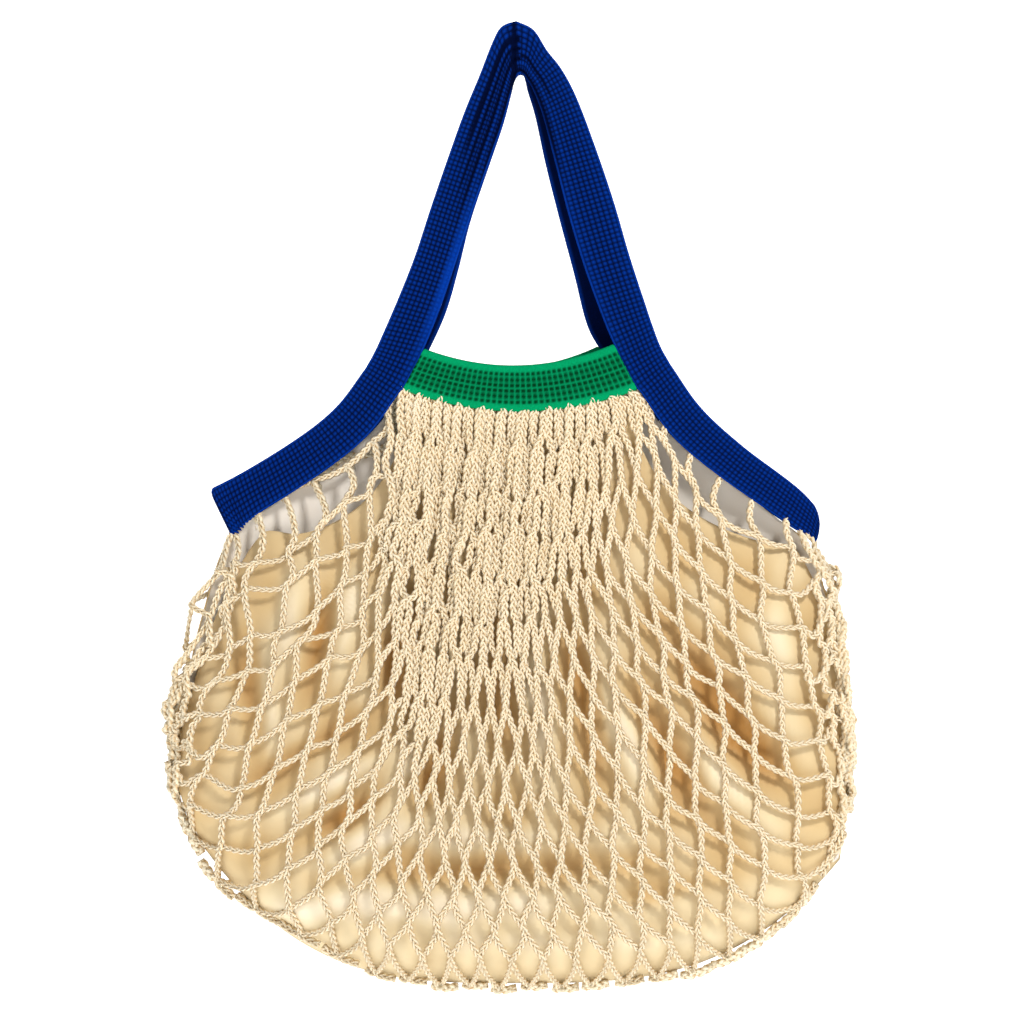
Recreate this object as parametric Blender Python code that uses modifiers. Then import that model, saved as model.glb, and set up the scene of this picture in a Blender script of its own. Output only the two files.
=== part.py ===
# Net shopping bag with a cloth lining, as it hangs by its two handles.
# Metres, +Z up, the bag's front towards -Y. The origin is the place under the handles
# where a peg or a hand carries them.

import bmesh
import bpy
import numpy as np

MM = 0.001
FRONT, BACK = -1, 1

# Driving sizes, in millimetres
TAPE_THICKNESS = 2.0
BAND_THICKNESS = 2.0
NET_THICKNESS = 3.0
CORD_WIDTH = 4.6             # bar between two cut meshes
LINING_THICKNESS = 1.5
SEAM_GAP = 0.6               # between pieces that are sewn edge to edge,
ARMHOLE_GAP = 1.2            # along the armholes, where the net's edge is tilted,
SIDE_FOLD_GAP = 2.0          # and at their low ends, where it turns round the side
LINING_CLEARANCE = 3.4       # middle of the lining to middle of the net
LINING_PART_DEPTH = 0.75     # its depth as a part of the net's, where the bag is thin
LINING_SIDE_GAP = 7.0        # it is narrower than the net
LINING_BOTTOM_GAP = 11.0     # and ends above its bottom
LINING_DROP = 17.0           # its edge hangs below the tape at the sides
LINING_FOLD = 2.5            # depth of its soft folds
PLEAT = 1.8                  # rise of every other column in the gathered top
END_DEPTH = 1.4              # half the distance between the two tapes at the side fold

# The net's meshes. Cords run diagonally, so each row down to the armhole's end is one wider.
TOP_MESHES = 13              # across the band
SIDE_ROWS = 5                # rows down to the point where the armhole closes
ROWS = 10                    # rows down to the bottom
SIDE_DOWN = 7 / 15           # that point, as a part of the way down the body
SMALLEST_OPEN = 11.0         # narrower meshes are drawn together and stay closed

# Heights, widths and depths of the body on the way down from the band (0) to the bottom (1).
# gather and edge_pace say how closely the columns lie in the middle and at the side.
BODY_COLUMNS = ("down", "mid_z", "side_z", "left_rise", "half_width", "shift", "lean",
                "mid_depth", "edge_depth", "wrap", "gather", "edge_pace", "smile")
BODY_ROWS = (
    (0.0000, -190, -178, 0.0, 65, 0.0, 0.0, 13.0, 12.0, 40, 0.89, 1.2, 2.0),
    (0.1333, -232, -204, 0.5, 84, 0.0, 3.0, 17.0, 11.0, 46, 0.80, 1.4, 2.0),
    (0.2667, -275, -226, 1.5, 110, 0.0, 7.0, 22.0, 8.5, 58, 0.74, 1.6, 2.1),
    (0.4000, -318, -253, 4.5, 149, 0.0, 11.0, 27.0, 4.0, 76, 0.62, 1.1, 2.4),
    (SIDE_DOWN, -339, -264, 8.0, 165, -0.5, 12.0, 29.5, 0.0, 90, 0.57, 0.7, 2.5),
    (0.6000, -381, -308, 5.0, 183, -1.0, 11.0, 33.0, 0.0, 90, 0.56, 0.5, 2.8),
    (0.7500, -429, -358, 2.0, 190, -4.0, 7.0, 35.0, 0.0, 90, 0.61, 0.8, 3.0),
    (0.9000, -477, -402, 6.0, 188, -4.5, 3.0, 31.0, 0.0, 90, 0.72, 1.0, 3.1),
    (0.9600, -496, -421, 12.0, 185, -3.0, 1.0, 21.0, 0.0, 90, 0.78, 1.0, 3.2),
    (1.0000, -509, -440, 17.0, 181, -2.0, 0.0, 0.0, 0.0, 90, 0.83, 0.9, 3.2),
)

# Outer edge of the tape along each armhole, on the way down from the band: down, x, z
ARMHOLE_ROWS = {
    "right": ((0.0000, 83, -163.5), (0.1333, 100, -187.5), (0.2667, 123.5, -209),
              (0.4000, 157.5, -235), (SIDE_DOWN, 168.5, -247)),
    "left": ((0.0000, -85.5, -166), (0.1333, -101.5, -187), (0.2667, -122.5, -204),
             (0.4000, -157, -225), (SIDE_DOWN, -173, -233)),
}

# Both edges of the tape, from the band up each leg to the peak: inner x, inner z,
# outer x, outer z, depth, and how far the back leg is shifted sideways
LEG_ROWS = {
    "right": ((65.0, -178.0, 83.0, -163.5, 12.0, 0), (57.5, -165.0, 77.5, -153.5, 12.3, -4),
              (51.7, -152.5, 73.0, -141.5, 12.3, -8), (46.5, -139.0, 69.5, -131.0, 12.0, -10),
              (37.3, -111.3, 60.6, -103.5, 10.5, -8), (28.9, -82.3, 52.3, -74.6, 9.0, -7),
              (21.4, -51.7, 42.3, -44.5, 7.0, -7), (14.5, -23.4, 31.7, -16.1, 5.0, -5),
              (8.3, -7.8, 23.4, 0.0, 4.0, -3), (4.0, -1.0, 15.0, 11.0, 3.6, -1),
              (2.0, 2.5, 7.5, 22.5, 3.2, 0)),
    "left": ((-65.0, -178.0, -85.5, -166.0, 12.0, 0), (-58.6, -166.5, -81.0, -158.0, 12.3, 1),
             (-53.0, -155.0, -77.0, -149.5, 12.3, 2), (-44.5, -134.0, -67.5, -127.5, 11.8, 3),
             (-34.5, -110.7, -58.1, -103.5, 10.5, 2), (-27.5, -83.0, -49.0, -75.5, 9.0, 0),
             (-17.0, -51.7, -38.4, -44.5, 7.0, 0), (-9.5, -30.0, -30.5, -22.5, 5.4, 0),
             (-5.0, -12.5, -22.5, -3.0, 4.4, 0), (-2.8, -2.0, -15.5, 15.0, 3.6, 0),
             (-1.2, 2.5, -10.5, 24.0, 3.2, 0)),
}
PEAK_ROW = (0.4, 4.0, -2.5, 27.6, 3.0, 0)
BAND_TOP_ROW = 2             # row of the leg tables at the band's upper edge
BAND_SAG = 10.5              # how far that edge hangs below a straight line

# Lengthwise folds of the tape, which deepen towards the peak
TAPE_CROWN = 1.2
RIB_HEIGHT = 1.1
RIBS = 2.5
RIB_START_Z, RIB_FULL_Z = -95.0, -15.0

# Faces in the sheets
LINING_COLUMNS, LINING_FLAP_ROWS, LINING_TUBE_ROWS = 24, 7, 10
ARMHOLE_STEPS, LEG_STEPS, TAPE_COLUMNS = 15, 25, 6
BAND_COLUMNS, BAND_LEVELS = 24, 4

# Colour and roughness
COTTON_CORD = ((0.86, 0.76, 0.56, 1), 0.85)
COTTON_CLOTH = ((0.80, 0.66, 0.43, 1), 0.9)
BLUE_TAPE = ((0.0, 0.035, 0.36, 1), 0.8)
GREEN_TAPE = ((0.0, 0.38, 0.15, 1), 0.8)


def read_table(rows, at):
    """Smooth reading of a table whose first column rises: a cubic piece between each two rows."""
    table = np.array(rows, dtype=float)
    keys, values = table[:, 0], table[:, 1:]
    slopes = np.gradient(values, keys, axis=0)
    low = min(max(int(np.searchsorted(keys, at)) - 1, 0), len(keys) - 2)
    step = keys[low + 1] - keys[low]
    t = (at - keys[low]) / step
    return (values[low] * (1 + 2 * t) * (1 - t) ** 2 + values[low + 1] * t * t * (3 - 2 * t)
            + step * (slopes[low] * t * (1 - t) ** 2 - slopes[low + 1] * t * t * (1 - t)))


def body_row(down):
    """Sizes of the body at one height, by name. Below the armholes it is a closed tube."""
    row = dict(zip(BODY_COLUMNS[1:], read_table(BODY_ROWS, down)))
    closed = down >= SIDE_DOWN - 1e-6
    row["wrap"] = 90.0 if closed else min(row["wrap"], 90.0)
    row["edge_depth"] = 0.0 if closed else max(row["edge_depth"], 0.0)
    row["mid_depth"] = max(row["mid_depth"], 0.0)
    return row


def column_angle(row, across):
    """Where a column lies on the section: across runs from -1 at the left edge to 1."""
    linear, pace = row["gather"], row["edge_pace"]
    cubic = (5 - 4 * linear - pace) / 2
    turn = linear * across + cubic * across ** 3 + (1 - linear - cubic) * across ** 5
    return turn * np.radians(row["wrap"])


def section_point(row, angle, way):
    """A point of the body's rounded section, on its front or its back."""
    wrap = np.radians(row["wrap"])
    sideways = np.sin(angle) / np.sin(wrap)
    bulge = (np.cos(angle) - np.cos(wrap)) / (1 - np.cos(wrap))
    side_z = row["side_z"] + (row["left_rise"] if angle < 0 else 0)
    x = row["shift"] + row["half_width"] * sideways - row["lean"] * (1 - sideways ** 2)
    y = row["edge_depth"] + (row["mid_depth"] - row["edge_depth"]) * bulge
    z = row["mid_z"] + (side_z - row["mid_z"]) * abs(sideways) ** row["smile"]
    return np.array((x, way * y, z))


def body_point(down, across, way):
    row = body_row(down)
    return section_point(row, column_angle(row, across), way)


def new_material(name, look):
    colour, roughness = look
    made = bpy.data.materials.new(name)
    made.use_nodes = True
    shader = made.node_tree.nodes["Principled BSDF"]
    shader.inputs["Base Color"].default_value = colour
    shader.inputs["Roughness"].default_value = roughness
    shader.inputs["Metallic"].default_value = 0.0
    made.diffuse_color = colour
    return made


def add_grid(surface, points):
    """A grid of faces whose corners take the places in points, an array of rows."""
    rows, columns = points.shape[:2]
    made = bmesh.ops.create_grid(surface, x_segments=columns - 1, y_segments=rows - 1, size=1)
    corners = sorted(made["verts"], key=lambda v: (round(v.co.y, 5), round(v.co.x, 5)))
    for corner, place in zip(corners, points.reshape(-1, 3)):
        corner.co = place * MM


def face_outwards(surface, outward):
    """Give all faces one sense, so that most look along Y as outward says for their place."""
    bmesh.ops.recalc_face_normals(surface, faces=surface.faces)
    score = sum(face.normal.y * face.calc_area() * outward(face.calc_center_median())
                for face in surface.faces)
    if score < 0:
        bmesh.ops.reverse_faces(surface, faces=surface.faces)


def add_sheet(name, surface, collection, look, thickness):
    """Turn an open surface into an object with a thickness."""
    mesh = bpy.data.meshes.new(name)
    surface.to_mesh(mesh)
    surface.free()
    mesh.materials.append(new_material(name, look))
    sheet = bpy.data.objects.new(name, mesh)
    collection.objects.link(sheet)
    wall = sheet.modifiers.new("Thickness", "SOLIDIFY")
    wall.thickness = thickness * MM
    wall.offset = 0


# Net

def row_down(row):
    if row <= SIDE_ROWS:
        return SIDE_DOWN * row / SIDE_ROWS
    return SIDE_DOWN + (1 - SIDE_DOWN) * (row - SIDE_ROWS) / (ROWS - SIDE_ROWS)


def half_count(row):
    return TOP_MESHES + min(row, SIDE_ROWS)


def knot_place(column, row, way):
    """Where two cords meet. Every other column of the gathered top stands proud."""
    across = column / half_count(row)
    place = body_point(row_down(row), across, way)
    gathered = max(0.0, 1 - row / SIDE_ROWS) * (1 - across ** 2)
    if row > 0 and (column // 2) % 2:
        place[1] += way * PLEAT * gathered
    return place


def add_meshes(surface):
    """Diamonds on the front, on the back and round the side folds."""
    knots = {}

    def knot(column, row, way):
        reach = half_count(row)
        if abs(column) > reach:                     # past the side fold, on the other face
            column, way = (2 * reach - abs(column)) * (1 if column > 0 else -1), -way
        on_both = row == ROWS or (row >= SIDE_ROWS and abs(column) == reach)
        key = (column, row, 0 if on_both else way)
        if key not in knots:
            knots[key] = surface.verts.new(knot_place(column, row, way) * MM)
        return knots[key]

    for way in (FRONT, BACK):
        for row in range(ROWS + 1):
            reach = half_count(row)
            for column in range(1 - reach, reach):
                if (column + row + TOP_MESHES) % 2:
                    corners = ((column, row - 1), (column + 1, row),
                               (column, row + 1), (column - 1, row))
                    surface.faces.new([knot(*corner, way) for corner in corners
                                       if 0 <= corner[1] <= ROWS])
    for row in range(SIDE_ROWS + 1, ROWS, 2):
        for side in (-half_count(row), half_count(row)):
            surface.faces.new([knot(side, row - 1, FRONT), knot(side + 1, row, FRONT),
                               knot(side, row + 1, FRONT), knot(side - 1, row, FRONT)])


def is_open(mesh_face):
    """True where the largest circle that fits between the cords' middles is large enough."""
    return 4 * mesh_face.calc_area() / mesh_face.calc_perimeter() > SMALLEST_OPEN * MM


def build_net(collection):
    surface = bmesh.new()
    add_meshes(surface)
    face_outwards(surface, lambda centre: centre.y)
    cut = [mesh_face for mesh_face in surface.faces if is_open(mesh_face)]
    bmesh.ops.inset_individual(surface, faces=cut, thickness=CORD_WIDTH / 2 * MM,
                               use_even_offset=True)
    bmesh.ops.delete(surface, geom=cut, context="FACES")
    print("net:", len(cut), "meshes cut through")
    add_sheet("net", surface, collection, COTTON_CORD, NET_THICKNESS)


# Lining

def lining_row(down):
    """The body's sizes, taken in so that the pouch hangs free inside the net."""
    row = body_row(down)
    flap = max(0.0, 1 - down / SIDE_DOWN)
    row["half_width"] -= LINING_SIDE_GAP * (1 + flap)
    row["side_z"] += LINING_BOTTOM_GAP * down ** 4 - LINING_DROP * (1 - down)
    row["mid_z"] += LINING_BOTTOM_GAP * down ** 4
    row["mid_depth"] = max(0.0, min(row["mid_depth"] - LINING_CLEARANCE,
                                    row["mid_depth"] * LINING_PART_DEPTH))
    row["edge_depth"] *= LINING_PART_DEPTH
    row["lean"] = 0.0
    return row


def lining_point(down, across, way):
    """A point of the pouch, with soft folds that only run inwards."""
    row = lining_row(down)
    place = section_point(row, across * np.radians(row["wrap"]), way)
    ripple = 0.5 - 0.5 * np.cos(9 * across + 5 * down + way) * np.cos(7 * down - 4 * across)
    room = (1 - across ** 2) * np.sin(np.pi * down)
    place[1] -= way * LINING_FOLD * ripple * room
    return place


def build_lining(collection):
    surface = bmesh.new()
    flap = np.linspace(0, SIDE_DOWN, LINING_FLAP_ROWS + 1)
    tube = np.linspace(SIDE_DOWN, 1, LINING_TUBE_ROWS + 1)[1:]
    columns = np.linspace(-1, 1, LINING_COLUMNS + 1)
    for way in (FRONT, BACK):
        add_grid(surface, np.array([[lining_point(down, across, way) for across in columns]
                                    for down in (*flap, *tube)]))
    bmesh.ops.remove_doubles(surface, verts=surface.verts, dist=0.01 * MM)
    face_outwards(surface, lambda centre: centre.y)
    add_sheet("lining", surface, collection, COTTON_CLOTH, LINING_THICKNESS)


# Tapes

def net_edge(side, down, way):
    """The net's edge along an armhole, straight from knot to knot."""
    at = SIDE_ROWS * down / SIDE_DOWN
    low = min(int(at), SIDE_ROWS - 1)
    upper, lower = (body_point(row_down(row), 1 if side == "right" else -1, way)
                    for row in (low, low + 1))
    return upper + (lower - upper) * (at - low)


def armhole_edges(side, down, way):
    """Inner and outer edge of the tape beside the net."""
    inner = net_edge(side, down, way)
    depth = way * np.hypot(inner[1], END_DEPTH)
    outer_x, outer_z = read_table(ARMHOLE_ROWS[side], down)
    outer = np.array((outer_x, depth, outer_z))
    inner[1] = depth
    gap = ARMHOLE_GAP + (SIDE_FOLD_GAP - ARMHOLE_GAP) * (down / SIDE_DOWN) ** 2
    return inner + gap * (outer - inner) / np.linalg.norm(outer - inner), outer


def leg_edges(side, at, way):
    """Inner and outer edge of the tape at a row of its leg's table, the peak being the last."""
    table = [(index, *row) for index, row in enumerate((*LEG_ROWS[side], PEAK_ROW))]
    inner_x, inner_z, outer_x, outer_z, depth, back_shift = read_table(table, at)
    shift = back_shift if way == BACK else 0
    inner = np.array((inner_x + shift, way * depth, inner_z))
    outer = np.array((outer_x + shift, way * depth, outer_z))
    gap = ARMHOLE_GAP * max(0.0, 1 - at)
    return inner + gap * (outer - inner) / np.linalg.norm(outer - inner), outer


def side_edges(side, way):
    """All edge pairs of half a tape, from the side fold up to the peak."""
    downs = np.linspace(SIDE_DOWN, 0, ARMHOLE_STEPS + 1)[:-1]
    ats = np.linspace(0, len(LEG_ROWS[side]), LEG_STEPS + 1)
    return ([armhole_edges(side, down, way) for down in downs]
            + [leg_edges(side, at, way) for at in ats])


def tape_row(inner, outer, way):
    """Points across the tape, which is crowned, and ribbed lengthwise towards the peak."""
    height = (inner[2] + outer[2]) / 2
    creased = np.clip((height - RIB_START_Z) / (RIB_FULL_Z - RIB_START_Z), 0, 1)
    t = np.linspace(0, 1, TAPE_COLUMNS + 1)
    crown = TAPE_CROWN * min(1.0, abs(inner[1]) / 6)
    rise = (crown + RIB_HEIGHT * creased * np.cos(2 * np.pi * RIBS * t)) * np.sin(np.pi * t)
    row = inner + np.outer(t, outer - inner)
    row[:, 1] += way * rise
    return row


def build_tape(name, way, collection):
    edges = side_edges("left", way) + side_edges("right", way)[-2::-1]
    surface = bmesh.new()
    add_grid(surface, np.array([tape_row(inner, outer, way) for inner, outer in edges]))
    face_outwards(surface, lambda centre: way)
    add_sheet(name, surface, collection, BLUE_TAPE, TAPE_THICKNESS)


# Bands

def band_row(level, way):
    """Points across the band at a level from its lower edge (0), on the net, to its upper (1)."""
    left, right = (leg_edges(side, level * BAND_TOP_ROW, way)[0] for side in ("left", "right"))
    top_left, top_right = (leg_edges(side, BAND_TOP_ROW, way)[0] for side in ("left", "right"))
    left_x, right_x = left[0] + 2 * SEAM_GAP, right[0] - 2 * SEAM_GAP
    net_top = body_row(0)
    wrap = np.radians(net_top["wrap"])
    row = []
    for across in np.linspace(-1, 1, BAND_COLUMNS + 1):
        share = (across + 1) / 2
        below = section_point(net_top, np.arcsin(across * np.sin(wrap)), way)
        upper_z = top_left[2] + (top_right[2] - top_left[2]) * share - BAND_SAG * (1 - across ** 2)
        lower_z = below[2] + SEAM_GAP
        row.append((left_x + (right_x - left_x) * share, below[1],
                    lower_z + (upper_z - lower_z) * level))
    return row


def build_band(name, way, collection):
    surface = bmesh.new()
    levels = np.linspace(0, 1, BAND_LEVELS + 1)
    add_grid(surface, np.array([band_row(level, way) for level in levels]))
    face_outwards(surface, lambda centre: way)
    add_sheet(name, surface, collection, GREEN_TAPE, BAND_THICKNESS)


def main():
    for old in list(bpy.data.objects):
        bpy.data.objects.remove(old, do_unlink=True)
    bag = bpy.data.collections.new("net_shopping_bag")
    bpy.context.scene.collection.children.link(bag)
    build_net(bag)
    build_lining(bag)
    build_tape("tape_front", FRONT, bag)
    build_tape("tape_back", BACK, bag)
    build_band("band_front", FRONT, bag)
    build_band("band_back", BACK, bag)


main()
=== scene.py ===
# Net shopping bag with a cloth lining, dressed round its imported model.
# Sizes are in millimetres until a mesh is made, and flat sizes in metres. The bag's front
# looks along -Y, and the origin is where the handles hang.

from functools import partial
import bpy
import numpy as np
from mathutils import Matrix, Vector


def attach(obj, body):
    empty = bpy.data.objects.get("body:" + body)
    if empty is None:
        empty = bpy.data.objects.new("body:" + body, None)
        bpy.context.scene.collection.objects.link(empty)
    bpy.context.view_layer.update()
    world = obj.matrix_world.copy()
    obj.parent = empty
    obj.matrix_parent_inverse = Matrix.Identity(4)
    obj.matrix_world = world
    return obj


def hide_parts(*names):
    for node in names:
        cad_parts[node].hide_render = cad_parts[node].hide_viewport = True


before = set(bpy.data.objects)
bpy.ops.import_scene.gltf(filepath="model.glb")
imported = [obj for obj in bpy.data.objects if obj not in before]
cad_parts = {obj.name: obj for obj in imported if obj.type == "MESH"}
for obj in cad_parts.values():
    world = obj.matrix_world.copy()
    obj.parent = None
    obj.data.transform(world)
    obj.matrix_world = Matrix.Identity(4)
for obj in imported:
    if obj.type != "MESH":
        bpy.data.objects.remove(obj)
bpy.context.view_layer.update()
mm = 0.001
front, back = -1, 1
print("frame loaded:", sorted(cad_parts))


def readTable(rows, at):
    # smooth reading of a table by its first column: one cubic piece between each two rows,
    # whose slopes at the rows are the slopes between their neighbours
    table = np.array(rows, dtype=float)
    keys, values = table[:, 0], table[:, 1:]
    slopes = np.gradient(values, keys, axis=0)
    at = np.asarray(at, dtype=float)
    low = np.clip(np.searchsorted(keys, at) - 1, 0, len(keys) - 2)
    step = keys[low + 1] - keys[low]
    t = ((at - keys[low]) / step)[..., None]
    step = step[..., None]
    return (values[low] * (1 + 2 * t) * (1 - t) ** 2 + values[low + 1] * t * t * (3 - 2 * t)
            + step * (slopes[low] * t * (1 - t) ** 2 - slopes[low + 1] * t * t * (1 - t)))


def unit(vectors):
    # vectors along the last axis, each divided by its length
    return vectors / np.maximum(np.linalg.norm(vectors, axis=-1, keepdims=True), 1e-9)


def sideBySide(*parts):
    # arrays or numbers of one shape, joined along a new last axis
    return np.stack(np.broadcast_arrays(*parts), axis=-1)


def bump(distance, width):
    # a soft hill: one at no distance, falling to nothing over the width
    return np.exp(-(distance / width) ** 2)


def smoothStep(low, high, value):
    # nothing up to low, one from high on, and a smooth S between them
    t = np.clip((value - low) / (high - low), 0, 1)
    return t * t * (3 - 2 * t)


def gridQuads(rows, columns, closeRows=False, closeColumns=False, first=0):
    # the faces of a grid of points numbered row by row, round again where it is closed
    down = np.arange(rows if closeRows else rows - 1)[:, None]
    over = np.arange(columns if closeColumns else columns - 1)[None, :]
    nextDown, nextOver = (down + 1) % rows, (over + 1) % columns
    corners = (down * columns + over, down * columns + nextOver,
               nextDown * columns + nextOver, nextDown * columns + over)
    return first + sideBySide(*corners).reshape(-1, 4)


def addPiece(name, points, faces, material, uv=None, marks=None):
    # a smooth mesh from arrays, with a UV place and named values for each point
    mesh = bpy.data.meshes.new(name)
    mesh.from_pydata((points * mm).tolist(), [], faces.tolist() if hasattr(faces, "tolist") else faces)
    mesh.shade_smooth()
    corners = np.empty(len(mesh.loops), dtype=np.int32)
    mesh.loops.foreach_get("vertex_index", corners)
    if uv is not None:
        layer = mesh.uv_layers.new(name="UVMap")
        layer.data.foreach_set("uv", (uv[corners] * mm).ravel().astype(np.float32))
    for mark, values in (marks or {}).items():
        layer = mesh.attributes.new(mark, "FLOAT", "POINT")
        layer.data.foreach_set("value", values.astype(np.float32))
    mesh.materials.append(material)
    piece = bpy.data.objects.new(name, mesh)
    bpy.context.scene.collection.objects.link(piece)
    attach(piece, "root")
    print("piece", name, len(mesh.polygons), "faces")
    return piece


def hexColor(text):
    # sRGB hex to linear light: below 0.04045 a straight line, above it a power of 2.4
    srgb = np.array([int(text[i:i + 2], 16) / 255 for i in (1, 3, 5)])
    linear = np.where(srgb <= 0.04045, srgb / 12.92, ((srgb + 0.055) / 1.055) ** 2.4)
    return (*linear.tolist(), 1.0)


def addNode(tree, kind, inputs=None, **settings):
    # a node with its settings, each input given a value or linked from another node's output;
    # the new node's outputs come back
    made = tree.nodes.new("ShaderNode" + kind)
    for name, value in settings.items():
        setattr(made, name, value)
    for name, value in (inputs or {}).items():
        if isinstance(value, bpy.types.NodeSocket):
            tree.links.new(value, made.inputs[name])
        else:
            made.inputs[name].default_value = value
    return made.outputs


def newMaterial(name, roughness):
    # a material, its shader, and addNode for its own nodes
    material = bpy.data.materials.new(name)
    material.use_nodes = True
    shader = material.node_tree.nodes["Principled BSDF"]
    shader.inputs["Roughness"].default_value = roughness
    return material, shader, partial(addNode, material.node_tree)


def feed(shader, color, normal):
    shader.id_data.links.new(color, shader.inputs["Base Color"])
    shader.id_data.links.new(normal, shader.inputs["Normal"])


cordFinish = {
    "lit": "#fcf3dc", "tint": "#f3e4c2",  # two creams, in soft patches on the crowns
    "hollowShade": "#cfa768",  # painted shade: tan where a strand dips under
    "blotchSize": 1000 / 60,  # 60 patches to the metre
    "plyPitch": 1.1, "plyTurn": 0.6, "plyDepth": 0.16, "plyStrength": 0.8,
    "waveRepeat": 0.314,  # a wave texture of scale one repeats at this
    "fuzzSize": 5 / 9, "fuzzDepth": 0.10, "fuzzStrength": 0.6,
    "roughness": 0.92, "sheen": 0.15,
}


def undyedCottonCord():
    # undyed cotton yarn in a chain: matt, cream on its crowns, and tan as painted shade where strands
    # dip under
    look = cordFinish
    material, shader, add = newMaterial("undyedCottonCord", look["roughness"])
    over = add("Attribute", attribute_name="over")
    place = add("TexCoord")
    blotch = add("TexNoise", {"Vector": place["Object"], "Scale": 1 / (look["blotchSize"] * mm),
                              "Detail": 3.0})
    crown = add("Mix", {"Factor": blotch["Fac"], "A": hexColor(look["lit"]),
                        "B": hexColor(look["tint"])}, data_type="RGBA")
    shade = add("Mix", {"Factor": over["Fac"], "A": hexColor(look["hollowShade"]),
                        "B": crown["Result"]}, data_type="RGBA")
    turn = add("Mapping", {"Vector": place["UV"], "Rotation": (0, 0, look["plyTurn"])})
    ply = add("TexWave", {"Vector": turn["Vector"], "Distortion": 1.0, "Detail": 1.0,
                          "Scale": look["waveRepeat"] / (look["plyPitch"] * mm)},
              bands_direction="X")
    fuzz = add("TexNoise", {"Vector": place["Object"], "Scale": 1 / (look["fuzzSize"] * mm),
                            "Detail": 2.0})
    plyBump = add("Bump", {"Height": ply["Fac"], "Distance": look["plyDepth"] * mm,
                           "Strength": look["plyStrength"]})
    fuzzBump = add("Bump", {"Height": fuzz["Fac"], "Distance": look["fuzzDepth"] * mm,
                            "Strength": look["fuzzStrength"], "Normal": plyBump["Normal"]})
    feed(shader, shade["Result"], fuzzBump["Normal"])
    shader.inputs["Sheen Weight"].default_value = look["sheen"]
    return material


clothFinish = {
    # painted shade and painted highlight: the ridge mark picks from tan down in the folds to pale
    # cream on their ridges
    "ramp": ((0.0, "#b08040"), (0.45, "#d2b480"), (0.72, "#e3d0a8"), (1.0, "#f6e9cf")),
    "blotchSize": 1000 / 22, "mottle": 0.18,  # 22 patches to the metre
    # the inner side: painted paler than the outer cloth, as painted light where it lies in the pouch's
    # shade
    "inside": ("#faf4ea", "#e6dbcd"), "insideBlotch": 1000 / 26,
    "weavePitch": 0.9,  # real threads are too fine to show: drawn coarser
    "weaveDepth": 0.05, "weaveStrength": 0.5, "roughness": 0.85,
}


def addWeave(add, place):
    # the uneven threads of plain weave, the same on both sides of the cloth
    look = clothFinish
    weave = add("TexNoise", {"Vector": place["Object"], "Scale": 1 / (look["weavePitch"] * mm),
                             "Detail": 2.0})
    return add("Bump", {"Height": weave["Fac"], "Distance": look["weaveDepth"] * mm,
                        "Strength": look["weaveStrength"]})["Normal"]


def plainWovenCotton():
    # thin undyed cotton: smooth, faintly mottled, warmer and darker down in its folds as painted
    # shade, and paler on their ridges as painted highlight
    look = clothFinish
    material, shader, add = newMaterial("plainWovenCotton", look["roughness"])
    ridge = add("Attribute", attribute_name="ridge")
    place = add("TexCoord")
    blotch = add("TexNoise", {"Vector": place["Object"], "Scale": 1 / (look["blotchSize"] * mm),
                              "Detail": 4.0})
    mixed = add("Math", {0: blotch["Fac"], 1: look["mottle"], 2: ridge["Fac"]},
                operation="MULTIPLY_ADD")
    even = add("Math", {0: mixed["Value"], 1: look["mottle"] / 2}, operation="SUBTRACT")
    shade = add("ValToRGB", {"Fac": even["Value"]})
    stops = shade["Color"].node.color_ramp.elements
    for _ in look["ramp"][2:]:
        stops.new(0.5)
    for stop, (position, color) in zip(stops, look["ramp"]):
        stop.position, stop.color = position, hexColor(color)
    feed(shader, shade["Color"], addWeave(add, place))
    return material


def paleCottonInside():
    # the cloth's inner side: the same matt cotton, painted paler as painted light on a side that lies
    # in shade, in two faint tones
    look = clothFinish
    material, shader, add = newMaterial("paleCottonInside", look["roughness"])
    place = add("TexCoord")
    blotch = add("TexNoise", {"Vector": place["Object"], "Scale": 1 / (look["insideBlotch"] * mm),
                              "Detail": 4.0})
    lit, dim = look["inside"]
    shade = add("Mix", {"Factor": blotch["Fac"], "A": hexColor(lit), "B": hexColor(dim)},
                data_type="RGBA")
    feed(shader, shade["Result"], addWeave(add, place))
    return material


knitFinish = {
    "blue": ("#0240b4", "#000a30"), "green": ("#00ad6d", "#003a1c"),  # stitches, and holes in painted shade
    "yarnPitch": 0.8, "yarnDepth": 0.25, "yarnStrength": 0.7,
    "dimming": 0.5,  # the yarn's own shade takes up to this much light
    "roughness": 0.95, "specular": 0.04,
}


def knittedTape(name, lit, deep):
    # dyed cotton knit: bright stitches round holes dark with painted shade, matt with a little fuzz;
    # the same mark paints shade in creases and on the inner face
    look = knitFinish
    material, shader, add = newMaterial(name, look["roughness"])
    holesAndShade = add("Attribute", attribute_name="holesAndShade")
    place = add("TexCoord")
    shade = add("Mix", {"Factor": holesAndShade["Fac"], "A": hexColor(lit), "B": hexColor(deep)},
                data_type="RGBA")
    yarn = add("TexNoise", {"Vector": place["Object"], "Scale": 1 / (look["yarnPitch"] * mm),
                            "Detail": 3.0})
    dark = add("Mix", {"Factor": yarn["Fac"], "A": shade["Result"], "B": (0, 0, 0, 1)},
               data_type="RGBA")
    dim = add("Mix", {"Factor": look["dimming"], "A": shade["Result"], "B": dark["Result"]},
              data_type="RGBA")
    relief = add("Bump", {"Height": yarn["Fac"], "Distance": look["yarnDepth"] * mm,
                          "Strength": look["yarnStrength"]})
    feed(shader, dim["Result"], relief["Normal"])
    shader.inputs["Specular IOR Level"].default_value = look["specular"]
    return material


cordCotton = undyedCottonCord()
liningCotton = plainWovenCotton()
liningInside = paleCottonInside()
blueKnit = knittedTape("royalBlueKnit", *knitFinish["blue"])
greenKnit = knittedTape("emeraldGreenKnit", *knitFinish["green"])
print("finishes ready")


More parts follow.
